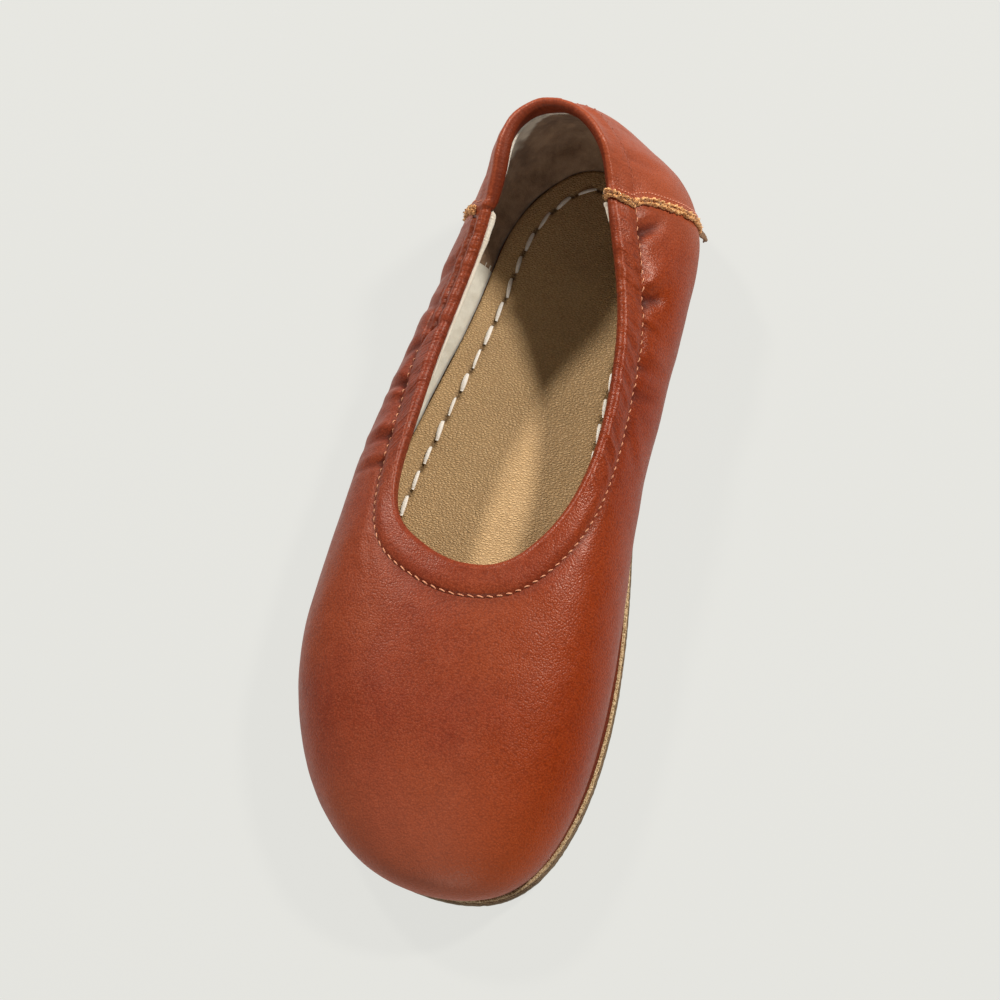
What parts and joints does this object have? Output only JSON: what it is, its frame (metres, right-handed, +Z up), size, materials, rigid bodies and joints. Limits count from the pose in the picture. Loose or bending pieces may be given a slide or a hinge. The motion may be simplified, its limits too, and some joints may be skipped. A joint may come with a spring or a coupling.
{
  "type": "barefoot flat shoe",
  "caption": "Slip-on barefoot flat shoe of smooth leather with a wide rounded toe, a stitched collar hem, raw side seams and a thin flexible two-layer sole.",
  "frame": {"origin": "on the floor, in the middle of the shoe's length and width", "axes": "+Z up, toe towards -Y, heel towards +Y, inner side of the foot towards +X"},
  "size_m": [0.094, 0.2524, 0.0606],
  "materials": {
    "upper_leather": "smooth fine-grained leather with a soft sheen",
    "raw_edge": "raw frayed leather edge",
    "sock_leather": "matte pebbled leather",
    "sole_leather": "matte leather with a fuzzy cut edge",
    "sole_rubber": "matte rubber"
  },
  "bodies": {
    "root": {"outsole": "sole_rubber", "midsole": "sole_leather", "insole": "sock_leather", "upper": "upper_leather", "seam_edge_medial": "raw_edge", "seam_edge_lateral": "raw_edge"}
  },
  "joints": []
}
